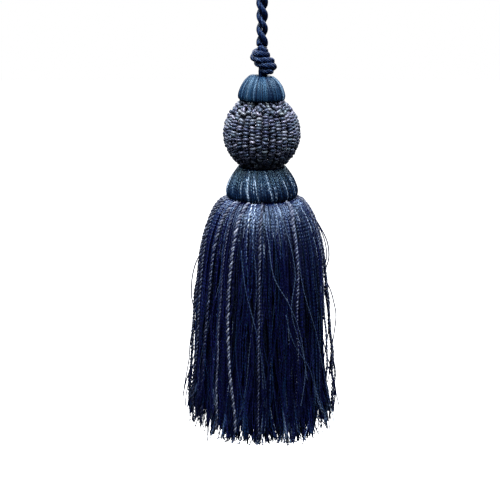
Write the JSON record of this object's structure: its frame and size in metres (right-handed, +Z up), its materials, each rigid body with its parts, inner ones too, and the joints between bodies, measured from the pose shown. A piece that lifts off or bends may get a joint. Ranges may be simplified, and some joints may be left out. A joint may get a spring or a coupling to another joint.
{
  "type": "beaded key tassel",
  "caption": "Navy key tassel with a beaded ball between two collars of combed thread, a full cut skirt and a knotted hanging cord.",
  "frame": {"origin": "the underside of the top of the hanging loop, where a hook or key bears", "axes": "+Z up along the tassel's axis, -Y the front, +X to the right seen from the front"},
  "size_m": [0.0611, 0.0608, 0.2221],
  "materials": {
    "cord": "plied navy cord with a soft silk sheen",
    "ruff_thread": "combed silk thread, blue, with a lengthwise sheen",
    "beads": "dark grey glass seed beads with a metallic lustre, modelled as opaque",
    "fringe_thread": "fine navy fringe thread with a soft sheen"
  },
  "bodies": {
    "root": {"hanging_cord": "cord", "cord_knot": "cord", "upper_ruff": "ruff_thread", "beaded_ball": "beads", "lower_ruff": "ruff_thread", "skirt": "fringe_thread"}
  },
  "joints": []
}
